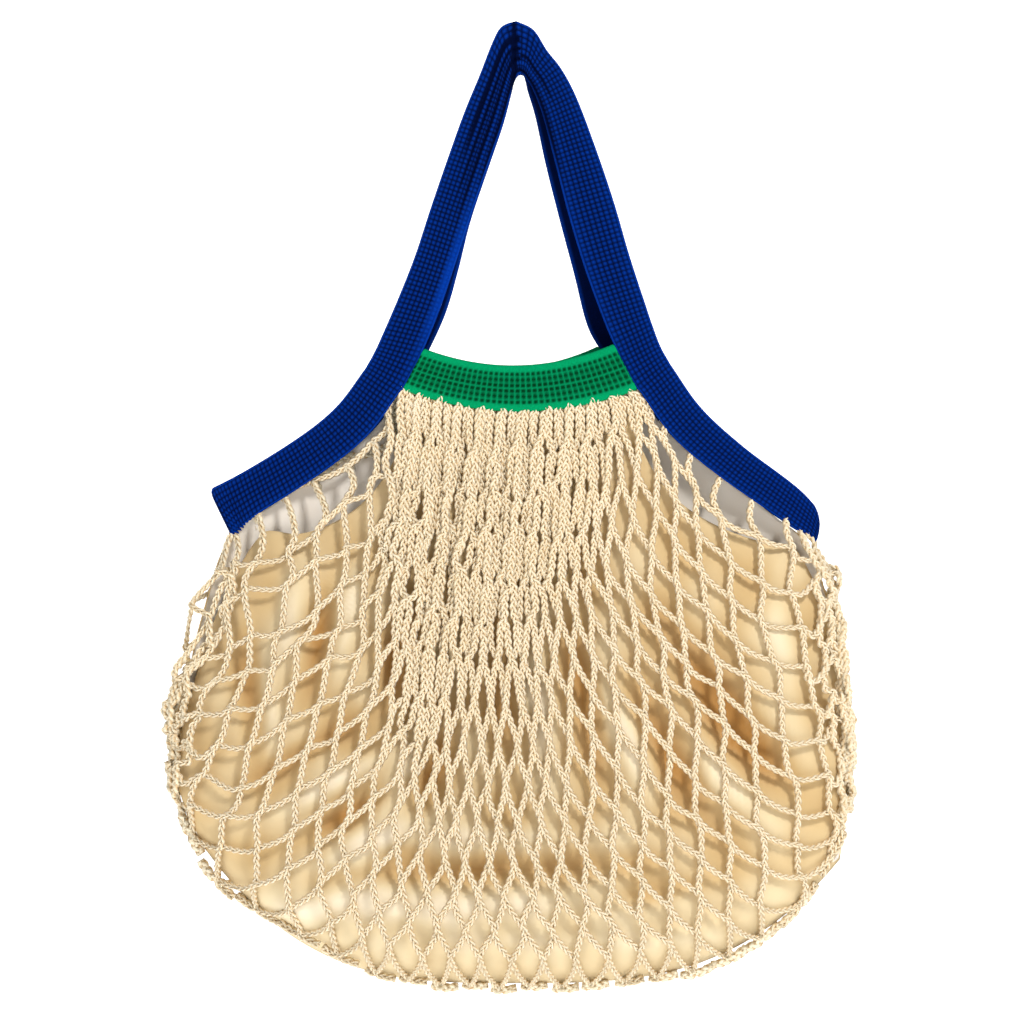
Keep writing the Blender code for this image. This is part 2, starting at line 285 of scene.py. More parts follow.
# Sizes of the body from the band (0) down to the bottom (1): heights at the middle and the sides,
# the left's rise, half the width, its shift and the middle's lean to the left, depths at the middle
# and the edge, the angle between them, the columns' pace at both, and the power of the rise
bagShape = {
    "sideDown": 7 / 15,  # the armholes end here
    "columns": ("midZ", "sideZ", "leftRise", "halfWidth", "shift", "lean",
                "midDepth", "edgeDepth", "wrap", "gather", "edgePace", "smile"),
    "rows": (
        (0, -190, -178, 0, 65, 0, 0, 13, 12, 40, 0.89, 1.2, 2),
        (0.1333, -232, -204, 0.5, 84, 0, 3, 17, 11, 46, 0.8, 1.4, 2),
        (0.2667, -275, -226, 1.5, 110, 0, 7, 22, 8.5, 58, 0.74, 1.6, 2.1),
        (0.4, -318, -253, 4.5, 149, 0, 11, 27, 4, 76, 0.62, 1.1, 2.4),
        (7 / 15, -339, -264, 8, 165, -0.5, 12, 29.5, 0, 90, 0.57, 0.7, 2.5),
        (0.6, -381, -308, 5, 183, -1, 11, 33, 0, 90, 0.56, 0.5, 2.8),
        (0.75, -429, -358, 2, 190, -4, 7, 35, 0, 90, 0.61, 0.8, 3),
        (0.9, -477, -402, 6, 188, -4.5, 3, 31, 0, 90, 0.72, 1, 3.1),
        (0.96, -496, -421, 12, 185, -3, 1, 21, 0, 90, 0.78, 1, 3.2),
        (1, -509, -440, 17, 181, -2, 0, 0, 0, 90, 0.83, 0.9, 3.2),
    ),
}


def bodyRow(down):
    # the body's sizes at a height, by name; below the armholes it is a closed tube
    values = readTable(bagShape["rows"], down)
    row = {name: values[..., i] for i, name in enumerate(bagShape["columns"])}
    closed = np.asarray(down) >= bagShape["sideDown"] - 1e-6
    row["wrap"] = np.where(closed, 90.0, np.minimum(row["wrap"], 90.0))
    row["edgeDepth"] = np.where(closed, 0.0, np.maximum(row["edgeDepth"], 0.0))
    row["midDepth"] = np.maximum(row["midDepth"], 0.0)
    return row


def columnAngle(row, across):
    # a column's angle round the section: an odd polynomial of its place across, of the fifth
    # degree, with the given paces at the middle and the edge
    cubic = (5 - 4 * row["gather"] - row["edgePace"]) / 2
    turn = (row["gather"] * across + cubic * across ** 3
            + (1 - row["gather"] - cubic) * across ** 5)
    return turn * np.radians(row["wrap"])


def sectionPoint(row, angle, way):
    # sideways as the sine of the angle, depth as its cosine, height rising to the sides
    wrap = np.radians(row["wrap"])
    sideways = np.sin(angle) / np.sin(wrap)
    bulge = (np.cos(angle) - np.cos(wrap)) / (1 - np.cos(wrap))
    sideZ = row["sideZ"] + np.where(angle < 0, row["leftRise"], 0)
    x = row["shift"] + row["halfWidth"] * sideways - row["lean"] * (1 - sideways ** 2)
    y = way * (row["edgeDepth"] + (row["midDepth"] - row["edgeDepth"]) * bulge)
    z = row["midZ"] + (sideZ - row["midZ"]) * np.abs(sideways) ** row["smile"]
    return sideBySide(x, y, z)


def sectionNormal(row, angle, way):
    # straight out of the section, in the level plane
    wrap = np.radians(row["wrap"])
    wide = row["halfWidth"] / np.sin(wrap)
    deep = np.maximum(row["midDepth"] - row["edgeDepth"], 1.0) / (1 - np.cos(wrap))
    out = (deep * np.sin(angle), way * wide * np.cos(angle), 0 * angle)
    return unit(sideBySide(*out))


net = {
    "flat": (0.29, 0.33),  # each piece: half of a face, with its meshes square
    "topHalf": 23, "sideRow": 7, "rows": 15,  # as knitted: one mesh more in each row
    "shares": 241,  # places across at which the rows are read
    "stray": (1.0, 0.5, 1.2),  # how far a joint lies off its place
    "crowdStray": (1.1, 0.7, 4.0),  # the same where the net is gathered
    "crowd": (6.4, 8.8),  # joints this close are gathered, or are not
    "bunch": 2.2,  # depth between neighbours where gathered
    "topStray": 0.2, "topBunch": 0.4,  # parts of these that are left at the band
    "join": 0.28, "crowdJoin": -1.9,  # how far two cords lean together at a joint
    "cross": 0.75,  # depth of one cord over the other at a joint
    "sag": 0.07,  # droop of a cord, as a part of its level run
    "rings": 22, "plait": 13.0,  # along one side of a mesh, and the length of one plait
    "meshSide": 22.0, "slack": 0.5,  # cord in one side, and how much spare cord bends it
    "spare": 9.0, "shortest": 8.0,  # most spare cord, and the shortest run that bows
    "swing": (5.3, 3.1),  # turns the bows' sides about, by column and row
    "sway": 1.12, "lift": 0.50, "strand": 1.10,  # the chain's three strands
    "thinner": (0.80, 0.22),  # size of a level cord, and more when it is upright
    "turnStep": 2.4,  # turn of the plait from one cord to the next
    "dip": (-1.2, 0.35),  # heights over which a strand goes from the tan of painted shade to cream
    "crowdSwell": 0.2,  # gathered cord is this much fuller
    "topTuck": 1.2, "arch": (2.6, 1.0, 0.35),  # the loops' reach into the band, and their arch
    "foot": (0.62, 0.3), "flankFoot": 0.56,  # parts of the way to the next joint at the bottom
    "flank": (80, 120),  # where the flanks' part takes over, from the middle
    "footSlopes": (0.5, 0.3),  # parts of its own way and the foot's, at a cord's last joint
    "footSwell": (0.35, 0.3),  # the foot is this much fuller, from this part of it on
    # each edge is sewn behind its tape; its last two joints lie well back from the tape's end
    "edgeTuck": {-1: ((-1.6, 0, 3.4), (0.5, 0, 5.0), (2.5, 0, 4.5)),
                 1: ((4.4, 0, 7.2), (-2.5, 0, 5.5), (-3.5, 0, 4.5))},
    "edgeDepth": 4.0,
    # slack cord gathers at the sides between these columns and rows, less so on the right
    "sideFolds": (24, 29), "slackRows": (6.5, 8.5, 12, 15), "rightSlack": 0.3,
    "sideStray": (2.2, 2.0, 3.5),  # stray there
    "slide": 24.0, "pleatDepth": 2.6,  # the left side's pleat, and its rows and columns
    "pleatRows": (6.5, 8.5, 10, 13), "frontPleat": (27, 30), "backPleat": (21, 27),
}

# Where the joints of one row hang on the front: column from the middle, x and z
jointRows = {
    0: ((-23, -65, -178), (-12, -36, -185), (0, 0, -190), (12, 36, -185), (23, 65, -178)),
    2: ((-25, -79, -212), (-23, -73, -222), (-18, -60, -230), (-8, -29, -235), (0, -4, -235),
        (10, 29, -232), (17, 56, -226), (21, 75, -220), (25, 95, -213)),
    4: ((-27, -114, -228), (-25, -97, -240), (-23, -82, -260), (-20, -72, -270), (-12, -47, -279),
        (0, -8, -282), (10, 27, -280), (17, 58, -272), (20, 79, -264), (23, 98, -256),
        (25, 112, -248), (27, 130, -241)),
    6: ((-29, -149, -249), (-27, -129, -268), (-25, -113, -271), (-23, -98, -287), (-21, -87, -302),
        (-18, -73, -313), (-10, -46, -324), (0, -9, -327), (8, 24, -325), (15, 64, -317),
        (21, 103, -301), (23, 116, -293), (25, 134, -284), (27, 152, -266), (29, 157, -259)),
    8: ((-30, -178, -268), (-29, -172, -275), (-27, -151, -287), (-25, -132, -312),
        (-23, -121, -316), (-21, -105, -326), (-19, -95, -344), (-16, -77, -358), (-8, -45, -370),
        (0, -7, -372), (8, 33, -369), (14, 75, -356), (19, 110, -342), (21, 124, -336),
        (23, 140, -327), (25, 156, -309), (27, 165, -284), (30, 174, -275)),
    10: ((-30, -187, -300), (-29, -180, -306), (-27, -161, -319), (-25, -151, -333), (-23, -141, -352),
         (-21, -129, -361), (-19, -116, -375), (-17, -105, -388), (-10, -62, -408), (0, -7, -415),
         (8, 45, -412), (13, 82, -400), (17, 111, -384), (19, 129, -378), (21, 145, -371),
         (23, 162, -352), (25, 169, -328), (30, 177, -301)),
    12: ((-30, -191, -330), (-27, -185, -343), (-25, -177, -357), (-23, -168, -373),
         (-21, -154, -396), (-19, -142, -409), (-17, -124, -419), (-15, -110, -428),
         (-8, -58, -451), (0, -1, -456), (8, 58, -449), (12, 91, -438), (15, 115, -426),
         (17, 132, -420), (19, 152, -411), (21, 170, -391), (23, 174, -366), (30, 180, -329)),
    14: ((-30, -193, -355), (-26, -192, -370), (-23, -189, -387), (-21, -183, -407),
         (-19, -166, -431), (-17, -147, -450), (-15, -127, -463), (-13, -105, -471),
         (-9, -71, -486), (-4, -30, -491), (0, 4, -492), (5, 48, -490), (9, 82, -484),
         (13, 115, -471), (15, 133, -462), (17, 155, -448), (19, 173, -426), (21, 179, -406),
         (30, 182, -356)),
    15: ((-30, -194, -366), (-25, -193, -385), (-22, -190, -404), (-20, -183, -426),
         (-18, -168, -449), (-16, -146, -466), (-14, -122, -479), (-12, -100, -491),
         (-10, -80, -500), (-8, -62, -505), (-4, -28, -509), (0, 6, -509), (6, 58, -507),
         (8, 78, -504), (10, 97, -500), (12, 116, -492), (14, 134, -482), (16, 154, -465),
         (18, 173, -436), (20, 180, -417), (25, 182, -389), (30, 183, -369)),
}


def meshReach(row):
    # the outermost column of a row, counted from the middle
    return net["topHalf"] + np.minimum(row, net["sideRow"])


def rowWindow(row, edges):
    # one between the inner two of four rows, falling smoothly to nothing at the outer two
    return smoothStep(edges[0], edges[1], row) * smoothStep(edges[3], edges[2], row)


def sectionAt(x, z):
    # the angle and the section at a place seen from the front: its way down the body is found
    # by halving, and its place across by taking the middle's lean away three times over
    low, high = np.zeros_like(x), np.ones_like(x)
    for _ in range(22):
        middle = (low + high) / 2
        row = bodyRow(middle)
        share = np.clip((x - row["shift"]) / row["halfWidth"], -1, 1)
        for _ in range(3):
            lean = row["lean"] * (1 - share ** 2)
            share = np.clip((x - row["shift"] + lean) / row["halfWidth"], -1, 1)
        sideZ = row["sideZ"] + np.where(share < 0, row["leftRise"], 0)
        height = row["midZ"] + (sideZ - row["midZ"]) * np.abs(share) ** row["smile"]
        low, high = np.where(height > z, middle, low), np.where(height > z, high, middle)
    wrap = np.radians(row["wrap"])
    angle = np.arcsin(np.clip(share * np.sin(wrap), -1, 1))
    return angle, row


def jointGrid():
    # every row's places over the same shares of its width, and then every row from those
    shares = np.linspace(-1, 1, net["shares"])
    known = []
    for row, places in jointRows.items():
        scaled = [(column / meshReach(row), x, z) for column, x, z in places]
        known.append((row, *readTable(scaled, shares).ravel()))
    rows = np.arange(net["rows"] + 1)
    return shares, readTable(known, rows).reshape(len(rows), len(shares), 2)


def knotStray(inside, row, layer, crowd):
    # how far each joint lies off its place sideways, outwards and upwards: random, wider up and
    # down where the net is gathered, and wider still in the slack cord at the sides
    full = int(meshReach(net["rows"]))
    count = net["rows"] + 1
    strayMap = np.random.default_rng(7).uniform(-1, 1, (2, 2 * full + 1, count, 3))
    drawn = strayMap[layer, inside + full, row]
    loose = np.array(net["stray"])
    stray = drawn * (loose + (np.array(net["crowdStray"]) - loose) * crowd[..., None])
    slack = smoothStep(*net["sideFolds"], np.abs(inside)) * rowWindow(row, net["slackRows"])
    slack = np.where(inside < 0, slack, net["rightSlack"] * slack)
    stray = stray * np.where(row == 0, net["topStray"], 1.0)[..., None]
    return stray + slack[..., None] * (drawn[..., ::-1] * np.array(net["sideStray"]) - stray)


def makeKnots():
    # places and outward directions of all joints, as arrays over face, column and row;
    # past a side fold the columns go on over the other face
    full = int(meshReach(net["rows"]))
    columns = np.arange(-full - 2, full + 3)
    rows = np.arange(net["rows"] + 1)
    shares, grid = jointGrid()
    face, column, row = np.meshgrid((front, back), columns, rows, indexing="ij")
    reach = meshReach(row)
    past = np.abs(column) > reach
    real = ~past | (row >= net["sideRow"])
    way = np.where(past, -face, face)
    inside = np.where(past, np.sign(column) * 2 * reach - column, column)
    at = (inside / reach + 1) / 2 * (len(shares) - 1)
    low = np.clip(at.astype(int), 0, len(shares) - 2)
    part = (at - low)[..., None]
    flat = grid[row, low] * (1 - part) + grid[row, low + 1] * part
    spread = np.abs(np.gradient(flat[..., 0], axis=1)) * 2
    near, far = net["crowd"]
    crowd = np.clip((far - spread) / (far - near), 0, 1)
    shared = (np.abs(inside) == full) | (row == net["rows"])
    stray = knotStray(inside, row, np.where(shared | (way == front), 0, 1), crowd)
    x, z = flat[..., 0] + stray[..., 0], flat[..., 1] + stray[..., 2]
    # round the left side the net has slid forwards into a pleat: its distance from the
    # outermost joint, counted backwards round the fold, grows shorter by the slide
    outermost = grid[row, 0, 0]
    pleat = np.where(way == front, smoothStep(*net["frontPleat"], -inside),
                     smoothStep(*net["backPleat"], -inside))
    pleat = pleat * rowWindow(row, net["pleatRows"])
    around = np.where(way == front, outermost - x, x - outermost) - net["slide"] * pleat
    slid = pleat > 0
    over = slid & (way == back) & (around < 0)
    x = np.where(slid, outermost + np.abs(around), x)
    way = np.where(slid, np.where(around < 0, front, back), way)
    angle, section = sectionAt(x, z)
    places = sectionPoint(section, angle, way)
    normals = sectionNormal(section, angle, way)
    places[..., 0], places[..., 2] = x, z
    proud = np.where((inside // 2) % 2 == 0, 0.5, -0.5) * net["bunch"] * crowd
    proud = proud * np.where(row == 0, net["topBunch"], 1.0) * (row != net["rows"])
    proud = proud + net["pleatDepth"] * (over + 0.5 * (slid & shared))
    places = places + normals * (proud + stray[..., 1])[..., None]
    edge = (np.abs(inside) == reach) & (row > 0) & (row <= net["sideRow"])
    for side, tucks in net["edgeTuck"].items():
        hidden = edge & (inside * side > 0)
        places[hidden] += np.array(tucks)[np.clip(row[hidden] - net["sideRow"] + 2, 0, 2)]
    behind = way * np.maximum(section["edgeDepth"] - net["edgeDepth"], 0)
    places[..., 1] = np.where(edge, behind, places[..., 1])
    places[~real] = np.nan
    return places, normals, crowd, full + 2


knots, knotNormals, knotCrowd, knotMiddle = makeKnots()


def strandStarts(way):
    # every cord that starts on one face: two from each loop under the band, and one from
    # each joint down the armholes that runs inwards
    half = net["topHalf"]
    starts = [(column, 0, step) for column in range(-half, half + 1, 2) for step in (1, -1)]
    starts += [(side * int(meshReach(row)), row, -side)
               for row in range(1, net["sideRow"]) for side in (-1, 1)]
    return [(way, column, row, step) for column, row, step in starts]


def lookUp(way, column, row):
    # joint values by face, column and row; a column past the side fold is on the other face
    full = int(meshReach(net["rows"]))
    past = np.abs(column) > full
    face = np.where(past, -way, way)
    column = np.where(past, np.sign(column) * 2 * full - column, column)
    index = ((face + 1) // 2, column + knotMiddle, np.clip(row, 0, net["rows"]))
    missing = (row < 0) | (row > net["rows"])
    place = knots[index].copy()
    place[missing] = np.nan
    return place, knotNormals[index], knotCrowd[index]


def strandJoints(way, column, row, step):
    # a cord's joints, and its direction at each: it leans towards the other cord's, so that they
    # run together there; where the net is gathered it leans away instead, so that they cross
    # quickly and then hang side by side. A foot along the bottom is added at the end
    k = np.arange(net["rows"] - row + 1)
    columns, rows = column + step * k, row + k
    place, normal, crowd = lookUp(way, columns, rows)
    own = np.gradient(place, axis=0)
    above = lookUp(way, columns + step, rows - 1)[0]
    below = lookUp(way, columns - step, rows + 1)[0]
    other = (below - above) / 2
    other[-1] = place[-1] - above[-1]
    other = np.where(np.isnan(other), own, other)
    join = (net["join"] + (net["crowdJoin"] - net["join"]) * crowd)[:, None]
    slope = own * (1 - join) + other * join
    if row == 0:  # a loop leaves the band in an arch
        tuck = net["topTuck"]
        slope[0] = own[0] * np.array(net["arch"])
        place[0] += (0, 0, tuck) - tuck * normal[0]
    cross = np.where((columns // 2 + rows) % 2 == 0, 1, -1) * step * net["cross"]
    edge = (np.abs(columns) >= meshReach(rows)) & (rows <= net["sideRow"])
    place = place + normal * np.where(edge, 0, cross)[:, None]
    right, left = (lookUp(way, columns[-1:] + side, rows[-1:])[0] for side in (2, -2))
    level = step * (right - left)[0] / 2  # to the next joint, and part of the way there
    flank = smoothStep(*net["flank"], np.abs(place[-1, 0]))
    part = net["foot"][0 if level[0] > 0 else 1]
    level = level * (part + (net["flankFoot"] - part) * flank)
    place = np.concatenate((place, place[-1:] + level))
    slope = np.concatenate((slope, level[None]))
    bend, turned = net["footSlopes"]
    slope[-2] = slope[-2] * bend + level * turned
    normal = np.concatenate((normal, normal[-1:]))
    return columns, rows, place, slope, normal, np.append(crowd, crowd[-1])


def strandLine(way, column, row, step):
    # a cord's centre line: a cubic from joint to joint, which droops between them as a parabola,
    # and bows sideways where its joints lie closer together than the cord between them is long
    columns, rows, place, slope, normal, crowd = strandJoints(way, column, row, step)
    t = (np.arange(net["rings"]) / net["rings"])[None, :, None]
    a, b = place[:-1, None], place[1:, None]
    u, v = slope[:-1, None], slope[1:, None]
    line = (a * (1 + 2 * t) * (1 - t) ** 2 + b * t * t * (3 - 2 * t)
            + u * t * (1 - t) ** 2 - v * t * t * (1 - t))
    run = np.linalg.norm((b - a)[..., :2], axis=-1)
    arch = 4 * t[..., 0] * (1 - t[..., 0])
    line[:-1, :, 2] -= net["sag"] * run[:-1] * arch
    chord = np.linalg.norm(b - a, axis=-1)
    spare = np.clip(net["meshSide"] - chord, 0, net["spare"]) * (chord > net["shortest"])
    turnColumn, turnRow = net["swing"]
    swing = np.sin(turnColumn * columns + turnRow * rows)[:, None]
    bow = net["slack"] * np.sqrt(3 / 8 * chord * spare) * swing  # the rise of a flat arc
    line[:-1, :, 0] += (bow * arch)[:-1]
    out = normal[:-1, None] * (1 - t) + normal[1:, None] * t
    swell = 1 + net["crowdSwell"] * (crowd[:-1, None] * (1 - t[..., 0]) + crowd[1:, None] * t[..., 0])
    fuller, after = net["footSwell"]
    swell[-1] += fuller * smoothStep(0, after, t[0, :, 0])
    cut = len(line) - 1  # the foot is short, so it has fewer rings
    line, out, swell = (np.concatenate((values[:cut].reshape(cut * t.size, -1),
                                        values[cut, ::2].reshape(t.size // 2, -1)))
                        for values in (line, out, swell))
    return line, unit(out), swell


def chainTubes(line, out, swell, start):
    # three strands plaited along the line: each sways as a sine and rises as the sine of
    # twice its angle, a third of a turn apart, and each is a three-sided tube; the chain is
    # flat, so a cord that runs level shows its thinner edge
    along = unit(np.gradient(line, axis=0))
    side = unit(np.cross(along, out))
    lift = np.cross(side, along)
    level, upright = net["thinner"]
    size = (level + upright * np.abs(along[:, 2:3])) * swell
    run = np.append(0, np.cumsum(np.linalg.norm(np.diff(line, axis=0), axis=-1)))
    turn = 2 * np.pi * run / net["plait"] + start
    corner = np.pi / 2 + 2 * np.pi / 3 * np.arange(3)
    ring = (side[:, None] * np.cos(corner)[None, :, None]
            + lift[:, None] * np.sin(corner)[None, :, None])
    points, uv, over = [], [], []
    for phase in 2 * np.pi * np.arange(3) / 3:
        sway = net["sway"] * np.sin(turn + phase)[:, None]
        rise = np.sin(2 * (turn + phase))[:, None]
        middle = line + size * (side * sway + lift * rise * net["lift"])
        points.append(middle[:, None] + net["strand"] * size[:, None] * ring)
        uv.append(sideBySide(run[:, None], np.arange(3)))
        # the over mark paints shade: tan where a strand dips under, cream where it rises
        over.append(smoothStep(*net["dip"], rise * np.sign(np.sin(corner))[None, :]))
    return points, uv, over


def buildNet():
    # four pieces, one for each face and each way its cords run, all their tubes in one mesh
    pieces = []
    names = {(front, 1): "netFrontRightward", (front, -1): "netFrontLeftward",
             (back, 1): "netBackRightward", (back, -1): "netBackLeftward"}
    for (way, heading), name in names.items():
        points, uv, over, quads, ends, first, length = [], [], [], [], [], 0, 0.0
        for start in strandStarts(way):
            if start[3] != heading:
                continue
            line, out, swell = strandLine(*start)
            length += np.linalg.norm(np.diff(line, axis=0), axis=-1).sum()
            turn = net["turnStep"] * start[1] * heading
            for tube, place, height in zip(*chainTubes(line, out, swell, turn)):
                rings = len(tube)
                points.append(tube.reshape(-1, 3))
                uv.append(place.reshape(-1, 2))
                over.append(height.ravel())
                quads.append(gridQuads(rings, 3, closeColumns=True, first=first))
                ends += [(first + 2, first + 1, first), tuple(first + 3 * rings - 3 + np.arange(3))]
                first += 3 * rings
        piece = addPiece(name, np.concatenate(points), np.concatenate(quads).tolist() + ends,
                         cordCotton, np.concatenate(uv), {"over": np.concatenate(over)})
        print(name, "has", round(length / 1000, 2), "m of cord")
        pieces.append(piece)
    return pieces


netPieces = buildNet()


liningCut = {
    "flat": (0.37, 0.64), "rows": 96, "columns": 112, "thickness": 0.9,
    "weld": 0.02,  # points of both halves this close are one
    "clearance": 3.6, "partDepth": 0.86,  # how far inside the net it hangs, front and back
    "bottomGap": 1.4, "drop": 21.0,  # its end above the net's, and the front's dip
    "backRise": (3.0, 4.0),  # the back's rise at the band, and at the side seams
    "backGap": (1.5, 7.0), "backGapFade": 0.4,  # its side gaps above the seams, and below them
    "ripple": (0.8, 7, 1.3, 19),  # height, length, and a waver with its length
    "crossRipple": (0.6, 8, 15),  # height, and length down and across
    "waver": (0.06, 9.0), "foldSize": (0.72, 0.55),  # of each fold; parts of its width and length
    "deepest": -9.0, "proudest": 2.2,  # how far folds may go in, and out
    "tone": (0.53, 0.68), "paleFrom": (-425, -470),  # it gets paler towards the bottom
    "toneRise": 11.0,  # a fold this high goes from darkest painted shade to palest painted highlight
}

# How far the front's sides hang inside the net: down, left and right; where the back's reach
# further out, the side seams are left open and the pale inside shows
liningGaps = ((0.0, 10, 10), (0.2, 14, 12), (7 / 15, 24, 13), (0.6, 15, 10), (0.7, 11, 8),
              (0.8, 6, 5), (0.9, 2, 2), (1.0, 0, 1))

# Soft folds: middle x and z, length, width, height (a trough is below nothing) and lean in degrees
frontFolds = (
    (-95, -300, 60, 9, 5, 12), (-112, -318, 55, 8, -5, 10), (-128, -300, 50, 9, 4, 8),
    (-70, -330, 60, 10, -5, 8), (-150, -345, 60, 9, -4, -6), (-138, -352, 55, 8, 4, -4),
    (-105, -395, 75, 8, 5, 62), (-95, -412, 75, 8, -5, 62), (-120, -378, 70, 8, -5, 60),
    (-85, -428, 80, 10, 5, 65), (-60, -385, 60, 9, 4, 35), (-45, -380, 60, 9, -5, 20),
    (-10, -340, 70, 10, -4, 0), (12, -360, 70, 9, 4, -4), (35, -345, 70, 10, -5, -10),
    (60, -370, 70, 11, 4, -20), (85, -385, 75, 13, -6, -32), (118, -398, 65, 11, 4, -40),
    (128, -372, 70, 16, -6, -42), (102, -342, 65, 15, -6, -30), (145, -325, 60, 12, 3, -8),
    (-20, -442, 150, 9, -5, 88), (-30, -462, 170, 12, 5, 89), (70, -455, 90, 9, -4, 80),
    (-20, -424, 140, 9, 4, 90), (30, -482, 200, 8, 3, 90), (-110, -462, 70, 10, 4, 75),
)
backFolds = (
    (-90, -320, 70, 11, 5, -8), (-60, -340, 70, 10, -5, -4), (-20, -330, 80, 10, 4, 0),
    (15, -350, 80, 11, -5, 5), (50, -330, 70, 10, 4, 10), (90, -345, 70, 12, -5, 15),
    (125, -370, 60, 11, 4, 20), (-120, -380, 70, 11, -5, -25), (-80, -410, 80, 10, 4, -55),
    (60, -415, 90, 10, -5, 65), (0, -445, 160, 10, 5, 90), (-30, -465, 180, 10, -4, 88),
    (90, -455, 90, 9, 4, 80),
)


def liningRow(down, way):
    # the body's sizes, taken in by the table of gaps so that the pouch hangs inside the net;
    # above the side seams its front dips in a curve and its back reaches up behind the tape
    cut = liningCut
    row = bodyRow(down)
    flap = np.clip(1 - down / bagShape["sideDown"], 0, 1)
    free = flap > 1e-6
    gaps = readTable(liningGaps, down)
    if way == back:
        least, most = cut["backGap"]
        fade = smoothStep(0.0, cut["backGapFade"], flap)
        gaps = np.minimum(gaps, (most + (least - most) * fade)[..., None])
        low, high = cut["backRise"]
        rise = np.where(free, high + (low - high) * flap, 0)
    else:
        rise = -cut["drop"] * np.sin(np.pi * flap)
    row["halfWidth"] = row["halfWidth"] - gaps.sum(axis=-1) / 2
    row["shift"] = row["shift"] + (gaps[..., 0] - gaps[..., 1]) / 2
    row["sideZ"] = row["sideZ"] + cut["bottomGap"] * down ** 4 + rise
    row["midZ"] = row["midZ"] + cut["bottomGap"] * down ** 4
    row["midDepth"] = np.clip(np.minimum(row["midDepth"] - cut["clearance"],
                                         row["midDepth"] * cut["partDepth"]), 0, None)
    row["edgeDepth"] = row["edgeDepth"] * cut["partDepth"]
    row["lean"] = 0 * row["lean"]
    return row


def foldHeight(folds, x, z):
    # each fold is a soft hill across its width and along its length, turned by its lean
    height = 0 * x
    part, pace = liningCut["waver"]
    wide, long = liningCut["foldSize"]
    for middleX, middleZ, length, width, rise, lean in folds:
        turn = np.radians(lean)
        along = (x - middleX) * np.sin(turn) + (z - middleZ) * np.cos(turn)
        over = (x - middleX) * np.cos(turn) - (z - middleZ) * np.sin(turn)
        over = over + part * width * np.sin(along / pace)
        height = height + rise * bump(over, width * wide) * bump(along, length * long)
    return height


def fineRipples(x, z):
    # two waves across each other: one that wavers sideways, and one that runs aslant
    rise, length, waver, waverLength = liningCut["ripple"]
    crossRise, down, aside = liningCut["crossRipple"]
    return (rise * np.sin(x / length + waver * np.sin(z / waverLength))
            + crossRise * np.sin(z / down + x / aside))


def liningFace(way, folds):
    # a grid from the mouth to the bottom and from side to side, pushed in and out by the folds,
    # which fade out towards the seams and the bottom
    down = np.linspace(0, 1, liningCut["rows"] + 1)[:, None]
    across = np.linspace(-1, 1, liningCut["columns"] + 1)[None, :]
    down, across = np.broadcast_arrays(down, across)
    row = liningRow(down, way)
    place = sectionPoint(row, across * np.radians(row["wrap"]), way)
    x, z = place[..., 0], place[..., 2]
    room = (1 - across ** 6) * np.sqrt(np.clip(np.sin(np.pi * down), 0, 1))
    height = (foldHeight(folds, x, z) + fineRipples(x, z)) * room
    proudest = liningCut["proudest"]
    place[..., 1] += way * (np.clip(height, liningCut["deepest"], proudest) - proudest * room)
    # the ridge mark: a tone paler towards the bottom, with painted shade in the troughs and painted
    # highlight on the ridges
    deep, pale = liningCut["tone"]
    tone = deep + (pale - deep) * smoothStep(*liningCut["paleFrom"], z)
    return place, np.clip(tone + height / liningCut["toneRise"], 0, 1)


def buildLining():
    # both halves in one mesh, welded down the sides and along the bottom
    sides = liningCut["rows"] + 1, liningCut["columns"] + 1
    places, ridges, quads = [], [], []
    for index, (way, folds) in enumerate(((front, frontFolds), (back, backFolds))):
        place, ridge = liningFace(way, folds)
        places.append(place.reshape(-1, 3))
        ridges.append(ridge.ravel())
        faces = gridQuads(*sides, first=index * sides[0] * sides[1])
        quads.append(faces[:, ::-1] if way == front else faces)
    piece = addPiece("liningPouch", np.concatenate(places), np.concatenate(quads), liningCotton,
                     marks={"ridge": np.concatenate(ridges)})
    weld = piece.modifiers.new("Side seams", "WELD")
    weld.merge_threshold = liningCut["weld"] * mm
    wall = piece.modifiers.new("Cloth", "SOLIDIFY")
    wall.thickness = liningCut["thickness"] * mm
    wall.offset = -1
    # the inner wall takes the paler cotton: painted light on the side in shade
    piece.data.materials.append(liningInside)
    wall.material_offset = 1
    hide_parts("lining")


buildLining()


tapeCut = {
    "thickness": 2.2, "squareness": 8,  # the power that squares its section
    "crown": 1.2, "crownDepth": 6,  # the crown is full where the tape lies this deep
    "pitch": 2.7, "holes": 8, "samples": 4, "holeDepth": 0.6, "innerColumns": 9,
    "selvedge": 0.05, "selvedgeColumns": 5, "gap": 0.5,
    "shade": (0.22, 0.12, 0.72), "inside": 0.95,  # painted shade at the edges, more at the middle, between stitches, and over the inner face
    "open": False,  # raised stitches, not holes
    "corners": ((4.0, 4.5), (3.0, 9.0)),  # rounding of the inner and outer corner at each end
    "endDepth": 1.4,  # half the way between the two tapes at their ends
    "loose": (5.5, 0, -4.0), "looseReach": 0.05,  # the left end hangs open by this, and how far up
    "ragged": (0.2, 700),  # and its edge wavers
    "turned": (-150.0, -75.0, 0.26, 0.6),  # the left leg's smooth inner edge: heights, width, part
    # creases along each leg near the peak, each also painted dark as painted shade: place across from
    # the inner edge, width, depth and the heights between which it fades in
    "creases": {"left": ((0.08, 0.04, 1.8, -75, -25), (0.30, 0.035, 2.0, -95, -40),
                         (0.48, 0.03, 1.8, -80, -35), (0.66, 0.04, 1.6, -60, -20)),
                "right": ((0.06, 0.05, 1.6, -70, -20), (0.36, 0.03, 0.9, -20, 0))},
    "peakCrease": (-3.4, 1.3, 1.6), "peakFade": (-25, -5),  # where both legs meet, also painted dark as painted shade: x, width and depth
    "flatWidth": 0.024, "steps": (401, 801),  # steps along the armhole and the leg
}

